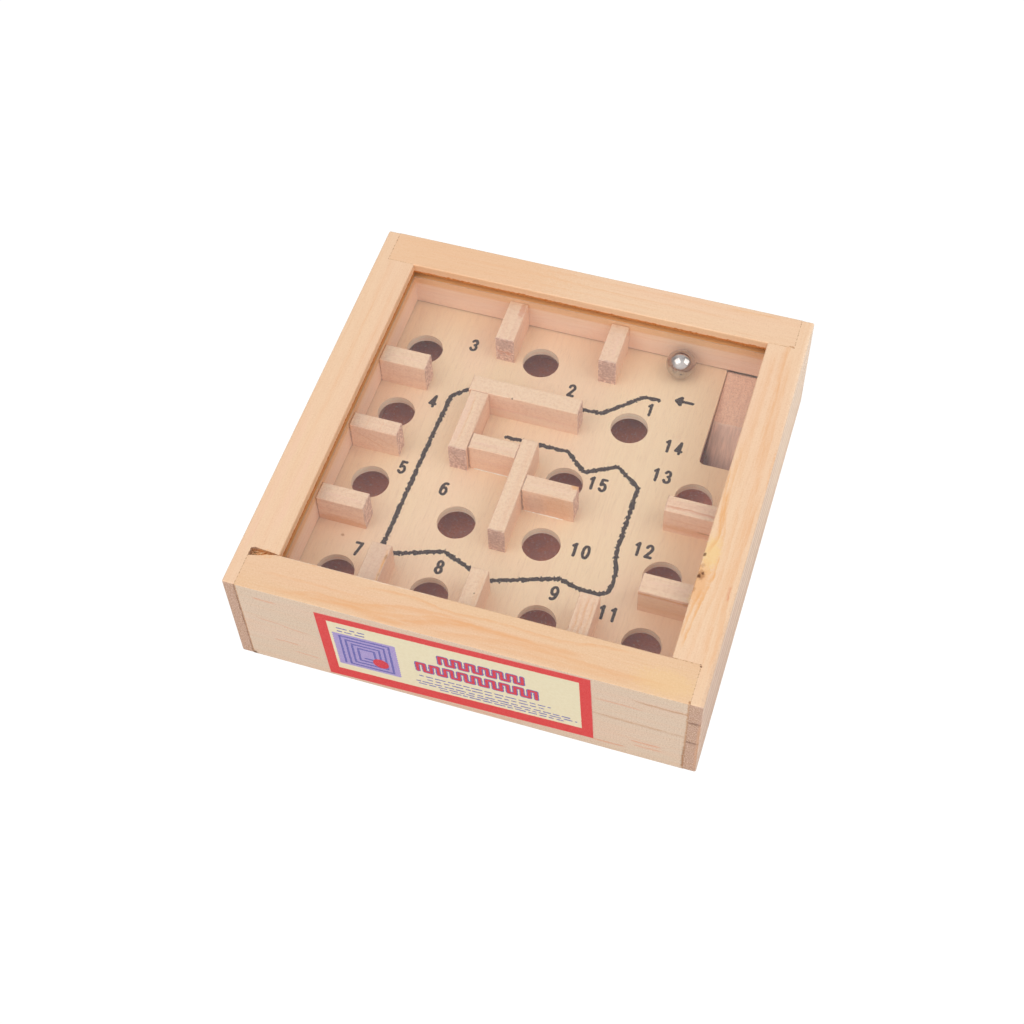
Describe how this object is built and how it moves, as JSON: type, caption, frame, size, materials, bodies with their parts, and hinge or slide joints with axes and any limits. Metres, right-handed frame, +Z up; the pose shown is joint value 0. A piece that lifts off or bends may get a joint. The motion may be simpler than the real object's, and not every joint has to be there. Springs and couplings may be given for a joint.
{
  "type": "tilt maze game",
  "caption": "Square wooden tray with a clear lid, a numbered playing board with drop holes, glued wall blocks, a return ramp and a steel ball.",
  "frame": {"origin": "centre of the underside, on the surface that the game stands on", "axes": "+X to the player's right, +Y away from the player (the label is on the -Y side), +Z up"},
  "size_m": [0.12, 0.1201, 0.0334],
  "materials": {
    "pine_rails": "satin",
    "pine_blocks": "satin",
    "plywood": "satin",
    "hardboard": "matte",
    "clear_acrylic": "gloss",
    "polished_steel": "polished",
    "paper_label": "satin"
  },
  "bodies": {
    "case": {"front_rail": "pine_rails", "back_rail": "pine_rails", "left_rail": "pine_rails", "right_rail": "pine_rails", "base_panel": "hardboard", "playing_board": "plywood", "clear_cover": "clear_acrylic", "return_ramp": "pine_blocks", "back_block_left": "pine_blocks", "back_block_right": "pine_blocks", "left_block_back": "pine_blocks", "left_block_middle": "pine_blocks", "left_block_front": "pine_blocks", "front_block_left": "pine_blocks", "front_block_middle": "pine_blocks", "front_block_right": "pine_blocks", "right_block_back": "pine_blocks", "right_block_front": "pine_blocks", "centre_block_long": "pine_blocks", "centre_block_left": "pine_blocks", "centre_block_short": "pine_blocks", "centre_block_middle": "pine_blocks", "centre_block_right": "pine_blocks", "front_label": "paper_label"},
    "ball": {"steel_ball": "polished_steel"}
  },
  "joints": [
    {"name": "ball_roll", "type": "slide", "parent": "case", "child": "ball", "axis": [0, -1, 0], "range_m": [0, 0.0751]}
  ]
}
